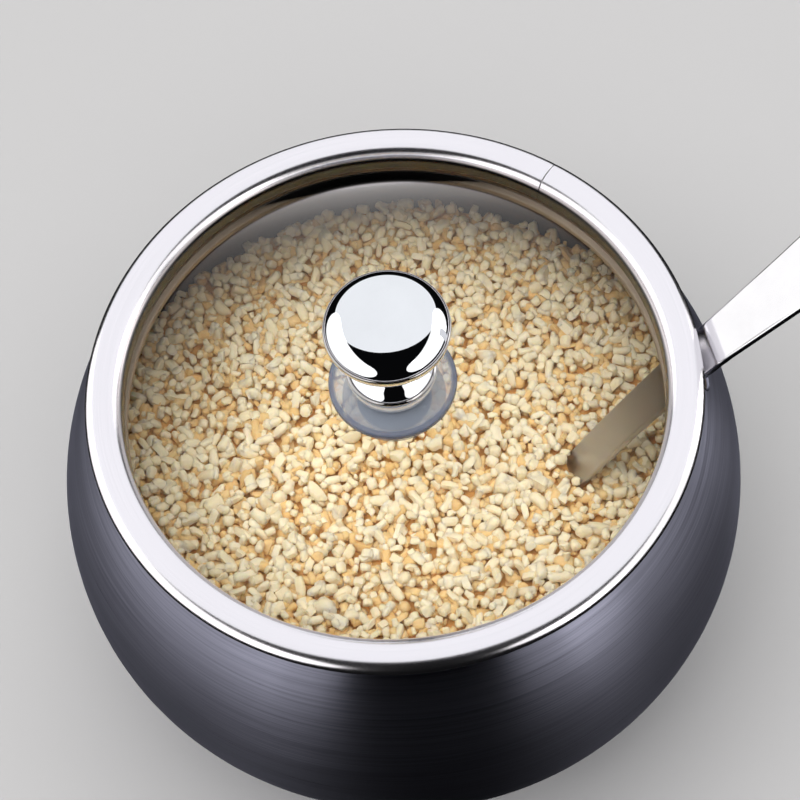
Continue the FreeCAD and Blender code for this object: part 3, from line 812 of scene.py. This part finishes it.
def brushed_steel(name, dark, light, rough, aniso, line_scale, bump_strength, inner=None, seam=None, wall=None):
    mat, nt, b, out = new_material(name)
    tc, sep, r, comb = turned_coords(nt, 1.3, 1.0)
    # height runs along the profile: z on the wall, radius on the base
    h = math_node(nt, "ADD", math_node(nt, "MULTIPLY", sep.outputs[2], line_scale),
                  math_node(nt, "MULTIPLY", r, line_scale * 0.45))
    nt.links.new(h, comb.inputs[2])
    lines = noise(nt, comb.outputs[0], 1.0, 6.0, 0.7)
    comb2 = node(nt, "ShaderNodeCombineXYZ")
    nt.links.new(math_node(nt, "MULTIPLY", comb.outputs[0], 1.0), comb2.inputs[0])
    wide = noise(nt, tc.outputs["Object"], 28.0, 3.0, 0.5)
    fac = ramp(nt, lines, [(0.30, 0.0), (0.70, 1.0)])
    col = mix_color(nt, fac, dark, light)
    col = mix_color(nt, math_node(nt, "MULTIPLY", wide, 0.25), col, tuple(c * 0.86 for c in dark))
    rr = math_node(nt, "ADD", math_node(nt, "MULTIPLY", lines, 0.14), rough - 0.07)
    if inner is not None:
        # the inner skin faces the axis and is left dull; its warm brown tint is a painted reflection of the sugar
        geo = node(nt, "ShaderNodeNewGeometry")
        dot = node(nt, "ShaderNodeVectorMath", operation="DOT_PRODUCT")
        flat = node(nt, "ShaderNodeVectorMath", operation="MULTIPLY")
        nt.links.new(geo.outputs["Position"], flat.inputs[0])
        flat.inputs[1].default_value = (1, 1, 0)
        nt.links.new(geo.outputs["True Normal"], dot.inputs[0])
        nt.links.new(flat.outputs[0], dot.inputs[1])
        inside = math_node(nt, "LESS_THAN", dot.outputs["Value"], -0.002)
        col = mix_color(nt, inside, col, inner)
        rr = math_node(nt, "ADD", rr, math_node(nt, "MULTIPLY", inside, 0.34))
    if seam is not None:
        # painted shade: a dark line in the butt seam's hairline groove, measured across it in metres
        a = math.radians(seam)
        across = math_node(nt, "SUBTRACT", math_node(nt, "MULTIPLY", sep.outputs[1], math.cos(a)),
                           math_node(nt, "MULTIPLY", sep.outputs[0], math.sin(a)))
        near = math_node(nt, "LESS_THAN", math_node(nt, "ABSOLUTE", across), 0.00007)
        side = math_node(nt, "GREATER_THAN", sep.outputs[1], 0.0)
        high = math_node(nt, "GREATER_THAN", sep.outputs[2], (SEAT - 1.0) * MM)
        col = mix_color(nt, math_node(nt, "MULTIPLY", math_node(nt, "MULTIPLY", near, side), high), col,
                        (0.10, 0.095, 0.10))
    if wall is not None:
        # the wall that drops to the glass is painted darker than the crown: a painted dark reflection
        low = node(nt, "ShaderNodeMapRange", clamp=True)
        for i, v in enumerate(((SEAT + 0.35) * MM, (SEAT - 0.15) * MM, 0.0, 1.0)):
            low.inputs[i + 1].default_value = v
        nt.links.new(sep.outputs[2], low.inputs[0])
        rad = math_node(nt, "SQRT", math_node(nt, "ADD", math_node(nt, "MULTIPLY", sep.outputs[0], sep.outputs[0]),
                                              math_node(nt, "MULTIPLY", sep.outputs[1], sep.outputs[1])), 0.0)
        within = math_node(nt, "LESS_THAN", rad, 41.0 * MM)
        col = mix_color(nt, math_node(nt, "MULTIPLY", low.outputs[0], within), col, wall)
    nt.links.new(col, b.inputs["Base Color"])
    b.inputs["Metallic"].default_value = 1.0
    nt.links.new(rr, b.inputs["Roughness"])
    b.inputs["Anisotropic"].default_value = aniso
    tan = node(nt, "ShaderNodeTangent", direction_type="RADIAL", axis="Z")
    nt.links.new(tan.outputs[0], b.inputs["Tangent"])
    b.inputs["Anisotropic Rotation"].default_value = 0.25
    nt.links.new(bump(nt, lines, bump_strength, 0.00002), b.inputs["Normal"])
    return mat


def polished(name, tone, rough, smear, scale, depth, low=None):
    """Polished metal: faint wiping haze in the roughness and a trace of waviness."""
    mat, nt, b, out = new_material(name)
    tc = node(nt, "ShaderNodeTexCoord")
    haze = noise(nt, tc.outputs["Object"], scale, 5.0, 0.6)
    fine = noise(nt, tc.outputs["Object"], scale * 14, 3.0, 0.6)
    col = mix_color(nt, ramp(nt, haze, [(0.35, 0.0), (0.7, 1.0)]), tone, tuple(c * 0.95 for c in tone))
    nt.links.new(col, b.inputs["Base Color"])
    b.inputs["Metallic"].default_value = 1.0
    rr = math_node(nt, "ADD", math_node(nt, "MULTIPLY", haze, smear), rough)
    if low is not None:
        # below the rim the strip is painted darker, a painted reflection, and its roughness is raised
        sep = node(nt, "ShaderNodeSeparateXYZ")
        nt.links.new(tc.outputs["Object"], sep.inputs[0])
        below_rim = node(nt, "ShaderNodeMapRange", clamp=True)
        for i, v in enumerate((SEAT * MM, (SEAT - 5.0) * MM, 0.0, 1.0)):
            below_rim.inputs[i + 1].default_value = v
        nt.links.new(sep.outputs[2], below_rim.inputs[0])
        col = mix_color(nt, below_rim.outputs[0], col, low)
        rr = math_node(nt, "ADD", rr, math_node(nt, "MULTIPLY", below_rim.outputs[0], 0.22))
    nt.links.new(col, b.inputs["Base Color"])
    nt.links.new(rr, b.inputs["Roughness"])
    nt.links.new(bump(nt, fine, 0.15, depth), b.inputs["Normal"])
    return mat


# inner=: the warm brown tint of the inner skin is a painted reflection of the sugar
body_mat = brushed_steel("steel_brushed", (0.19, 0.19, 0.24), (0.36, 0.36, 0.45), 0.30, 0.88, 5200.0, 0.30,
                         inner=(0.25, 0.205, 0.17))
# wall=: a painted dark reflection on the ring's wall down to the glass
ring_mat = brushed_steel("steel_satin", (0.93, 0.895, 0.93), (0.99, 0.95, 0.985), 0.19, 0.30, 9000.0, 0.04, seam=SEAM_AZ,
                         wall=(0.075, 0.072, 0.068))
chrome = polished("chrome_mirror", (0.90, 0.91, 0.93), 0.015, 0.02, 90.0, 0.000004)
# low=: the darker strip below the rim is a painted reflection
spoon_mat = polished("steel_polished", (0.82, 0.81, 0.825), 0.10, 0.08, 160.0, 0.000006,
                     low=(0.58, 0.575, 0.62))
screw_mat = polished("steel_zinc", (0.62, 0.63, 0.64), 0.18, 0.15, 300.0, 0.00001)


def groove_material():
    """Inside of the glass groove: dull, as formed, painted warm brown: a painted reflection of the sugar."""
    mat, nt, b, out = new_material("steel_groove")
    tc = node(nt, "ShaderNodeTexCoord")
    n1 = noise(nt, tc.outputs["Object"], 700.0, 4.0, 0.6)
    nt.links.new(mix_color(nt, n1, (0.36, 0.29, 0.23), (0.44, 0.36, 0.29)), b.inputs["Base Color"])
    b.inputs["Roughness"].default_value = 0.7
    return mat


groove_mat = groove_material()


def glass_material():
    """Clear glass: what is behind shows straight through, the surface mirrors by Fresnel, faint film of sugar dust."""
    mat, nt, b, out = new_material("glass_clear")
    nt.nodes.remove(b)
    tc = node(nt, "ShaderNodeTexCoord")
    clear = node(nt, "ShaderNodeBsdfTransparent")
    clear.inputs[0].default_value = (0.975, 0.985, 0.98, 1)
    gloss = node(nt, "ShaderNodeBsdfGlossy")
    haze = noise(nt, tc.outputs["Object"], 60.0, 5.0, 0.6)
    nt.links.new(math_node(nt, "ADD", math_node(nt, "MULTIPLY", haze, 0.03), 0.01), gloss.inputs["Roughness"])
    gloss.inputs["Color"].default_value = (0.50, 0.475, 0.46, 1)
    fr = node(nt, "ShaderNodeFresnel")
    fr.inputs["IOR"].default_value = 1.5
    # coated glass: face on it mirrors less than plain glass does, at a grazing angle just as much
    cut = node(nt, "ShaderNodeMapRange", clamp=True)
    for i, v in enumerate((0.05, 0.35, 0.36, 1.0)):
        cut.inputs[i + 1].default_value = v
    nt.links.new(fr.outputs[0], cut.inputs[0])
    mix = node(nt, "ShaderNodeMixShader")
    nt.links.new(math_node(nt, "MULTIPLY", fr.outputs[0], cut.outputs[0]), mix.inputs[0])
    nt.links.new(clear.outputs[0], mix.inputs[1])
    nt.links.new(gloss.outputs[0], mix.inputs[2])
    nt.links.new(mix.outputs[0], out.inputs[0])
    return mat


glass_mat = glass_material()


def washer_material():
    mat, nt, b, out = new_material("plastic_translucent")
    tc, sep, r, comb = turned_coords(nt, 1.0, 1.0)
    n1 = noise(nt, tc.outputs["Object"], 220.0, 4.0, 0.6)
    # the rounded rim is thicker along the line of sight, so it reads darker and less clear
    rim = ramp(nt, math_node(nt, "MULTIPLY", r, 100.0), [(0.0, 0.0), (0.835, 0.0), (0.875, 1.0)])
    col = mix_color(nt, n1, (0.33, 0.38, 0.47), (0.42, 0.47, 0.56))
    col = mix_color(nt, rim, col, (0.11, 0.135, 0.20))
    nt.links.new(col, b.inputs["Base Color"])
    b.inputs["Roughness"].default_value = 0.22
    nt.links.new(math_node(nt, "ADD", math_node(nt, "MULTIPLY", rim, 0.40), 0.34), b.inputs["Alpha"])
    b.inputs["IOR"].default_value = 1.49
    nt.links.new(bump(nt, n1, 0.2, 0.00002), b.inputs["Normal"])
    return mat


washer_mat = washer_material()


def sugar_material(name, light, dark, gold):
    mat, nt, b, out = new_material(name)
    tc = node(nt, "ShaderNodeTexCoord")
    geo = node(nt, "ShaderNodeNewGeometry")
    grain = noise(nt, tc.outputs["Object"], 2600.0, 4.0, 0.65)
    patch = noise(nt, tc.outputs["Object"], 90.0, 3.0, 0.55)
    col = mix_color(nt, ramp(nt, geo.outputs["Random Per Island"], [(0.0, 0.0), (1.0, 1.0)]), light, dark)
    col = mix_color(nt, ramp(nt, grain, [(0.42, 0.0), (0.68, 1.0)]), col, gold)
    col = mix_color(nt, math_node(nt, "MULTIPLY", ramp(nt, patch, [(0.4, 0.0), (0.7, 1.0)]), 0.35), col, dark)
    nt.links.new(col, b.inputs["Base Color"])
    b.inputs["Roughness"].default_value = 0.55
    b.inputs["Subsurface Weight"].default_value = 0.38
    b.inputs["Subsurface Radius"].default_value = (1.0, 0.75, 0.4)
    b.inputs["Subsurface Scale"].default_value = 0.0012
    nt.links.new(bump(nt, grain, 0.75, 0.00016), b.inputs["Normal"])
    return mat


sugar_mat = sugar_material("sugar_ivory", (0.95, 0.83, 0.64), (0.93, 0.76, 0.51), (0.95, 0.80, 0.57))
# the lower layer and the heap are painted darker and deeper gold: painted shade between the grains
low_shaded_mat = sugar_material("sugar_gold_painted_shade", (0.88, 0.63, 0.34), (0.82, 0.51, 0.21), (0.86, 0.60, 0.30))
heap_shaded_mat = sugar_material("sugar_deep_painted_shade", (0.70, 0.38, 0.12), (0.62, 0.31, 0.09), (0.68, 0.36, 0.11))


def give(ob, mat):
    ob.data.materials.clear()
    ob.data.materials.append(mat)


def give_node(name, mat):
    ob = NODES[name]
    if not ob.material_slots:
        ob.data.materials.append(mat)
    for s in ob.material_slots:
        s.link = "OBJECT"
        s.material = mat


give(body, body_mat)
give(ring, ring_mat)
ring.data.materials.append(groove_mat)
for poly in ring.data.polygons:
    c = poly.center / MM
    r = math.hypot(c.x, c.y)
    if r < GLASS_EDGE_R + 0.2 and c.z < SEAT - GROOVE_UP + 0.05:
        poly.material_index = 1
give(glass, glass_mat)
give(knob, chrome)
give(top_washer, washer_mat)
give(low_washer, washer_mat)
give(spoon, spoon_mat)
give(sugar, sugar_mat)
give(sugar_low, low_shaded_mat)
give(heap, heap_shaded_mat)
give_node("steel_washer", screw_mat)
give_node("knob_screw", screw_mat)


# ------------------------------------------------------------------ floor, light, camera
def floor_material():
    mat, nt, b, out = new_material("floor_pale")
    tc = node(nt, "ShaderNodeTexCoord")
    n1 = noise(nt, tc.outputs["Object"], 3.0, 4.0, 0.5)
    col = mix_color(nt, n1, (0.32, 0.325, 0.335), (0.34, 0.345, 0.355))
    nt.links.new(col, b.inputs["Base Color"])
    b.inputs["Roughness"].default_value = 0.75
    return mat


def floor():
    """Pale sweep: flat under the bowl, rising gently far behind it on every side."""
    verts, faces = [(0, 0, 0)], []
    rows = []
    prof = [(100 * i, 0.0) for i in range(1, 19)]
    prof += [(1800 + 900 * math.sin(t), 900 * (1 - math.cos(t))) for t in [math.pi / 2 * i / 16 for i in range(1, 17)]]
    prof += [(2700, 1400), (2700, 2200)]
    for r, z in prof:
        row = []
        for i in range(96):
            a = 2 * math.pi * i / 96
            row.append(len(verts))
            verts.append((r * math.cos(a), r * math.sin(a), z))
        rows.append(row)
    for i in range(96):
        faces.append((0, rows[0][i], rows[0][(i + 1) % 96]))
    for lo, hi in zip(rows, rows[1:]):
        for i in range(96):
            j = (i + 1) % 96
            faces.append((lo[i], hi[i], hi[j], lo[j]))
    me = bpy.data.meshes.new("floor")
    me.from_pydata([tuple(c * MM for c in v) for v in verts], [], faces)
    me.polygons.foreach_set("use_smooth", [True] * len(me.polygons))
    ob = bpy.data.objects.new("floor", me)
    bpy.context.scene.collection.objects.link(ob)
    me.materials.append(floor_material())
    return ob


ground = floor()
ground.visible_glossy = False

world = bpy.data.worlds.new("studio")
bpy.context.scene.world = world
world.use_nodes = True
bg = world.node_tree.nodes["Background"]
bg.inputs[0].default_value = (0.30, 0.31, 0.36, 1)
bg.inputs[1].default_value = 0.008

LOOK = Vector((0, 0, SEAT * MM))


def softbox(name, azimuth, elevation, distance, size_x, size_y, radiance, color=(1, 1, 1), shape="RECTANGLE",
            seen=True, lights=True, look=LOOK):
    """Soft light on a sphere round the lid; azimuth 0 is the front, 90 the right. One that isn't seen only lights
    the matt surfaces, and one that doesn't light is a reflector card for the metal and the glass."""
    a, e = math.radians(azimuth), math.radians(elevation)
    d = Vector((math.sin(a) * math.cos(e), -math.cos(a) * math.cos(e), math.sin(e)))
    li = bpy.data.lights.new(name, "AREA")
    li.shape = shape
    li.size, li.size_y = size_x, size_y
    area = size_x * size_y * (math.pi / 4 if shape == "ELLIPSE" else 1.0)
    li.energy = radiance * math.pi * area
    li.color = color
    ob = bpy.data.objects.new(name, li)
    bpy.context.scene.collection.objects.link(ob)
    ob.matrix_world = Matrix.Translation(look + d * distance) @ d.to_track_quat("Z", "Y").to_matrix().to_4x4()
    ob.visible_camera = False
    ob.visible_glossy = seen
    ob.visible_diffuse = lights
    return ob


def daylight(name, azimuth, elevation, strength, spread, color):
    """Soft light from far away, the same over the whole floor. It only lights the matt surfaces."""
    a, e = math.radians(azimuth), math.radians(elevation)
    d = Vector((math.sin(a) * math.cos(e), -math.cos(a) * math.cos(e), math.sin(e)))
    li = bpy.data.lights.new(name, "SUN")
    li.energy = strength
    li.angle = math.radians(spread)
    li.color = color
    ob = bpy.data.objects.new(name, li)
    bpy.context.scene.collection.objects.link(ob)
    ob.matrix_world = Matrix.Translation(LOOK + d * 1.5) @ d.to_track_quat("Z", "Y").to_matrix().to_4x4()
    ob.visible_camera = False
    ob.visible_glossy = False
    return ob


def bar(name, azimuth, elevation, distance, length, width, radiance, color=(1, 1, 1)):
    """Reflector bar with round ends: a strip and a disc at each end."""
    softbox(name, azimuth, elevation, distance, length, width, radiance, color, lights=False)
    a, e = math.radians(azimuth), math.radians(elevation)
    side = Vector((math.cos(a), math.sin(a), 0))
    for i, k in enumerate((-1, 1)):
        li = bpy.data.lights.new(name + "_end%d" % i, "AREA")
        li.shape = "DISK"
        li.size = width
        li.energy = radiance * math.pi * width * width * math.pi / 4
        li.color = color
        ob = bpy.data.objects.new(li.name, li)
        bpy.context.scene.collection.objects.link(ob)
        d = Vector((math.sin(a) * math.cos(e), -math.cos(a) * math.cos(e), math.sin(e)))
        at = LOOK + d * distance + side * (k * length / 2)
        ob.matrix_world = Matrix.Translation(at) @ d.to_track_quat("Z", "Y").to_matrix().to_4x4()
        ob.visible_camera = False
        ob.visible_diffuse = False


softbox("top_card", 180, 55, 0.60, 1.84, 1.84, 0.98, (0.95, 0.97, 1.0), "ELLIPSE", lights=False)
bar("left_card", -77, 12, 0.55, 0.95, 0.62, 1.25)
bar("right_card", 74, 14, 0.55, 0.82, 0.52, 1.15)
daylight("key", 186, 66, 2.6, 62, (1.0, 0.97, 0.93))
daylight("fill_front", 0, 58, 1.8, 50, (1.0, 0.965, 0.935))
daylight("fill_left", -70, 58, 1.5, 38, (1.0, 0.97, 0.955))
daylight("fill_right", 75, 58, 0.65, 38, (1.0, 0.97, 0.945))

bpy.context.scene.view_settings.view_transform = "Standard"

cam = bpy.data.cameras.new("camera")
cam_ob = bpy.data.objects.new("camera", cam)
bpy.context.scene.collection.objects.link(cam_ob)
E, ROLL, DIST = math.radians(61.26), math.radians(6.16), 307.8
right = Vector((1, 0, 0))
up = Vector((0, math.sin(E), math.cos(E)))
back = Vector((0, -math.cos(E), math.sin(E)))
pos = (right * 0.75 + up * -2.45 + back * DIST + Vector((0, 0, SEAT))) * MM
r2 = right * math.cos(ROLL) - up * math.sin(ROLL)
u2 = right * math.sin(ROLL) + up * math.cos(ROLL)
m = Matrix((r2, u2, back)).transposed().to_4x4()
cam_ob.matrix_world = Matrix.Translation(pos) @ m
cam.sensor_width = 36.0
cam.lens = 2120.0 / 800.0 * 36.0
cam.clip_start, cam.clip_end = 0.005, 20.0
bpy.context.scene.camera = cam_ob
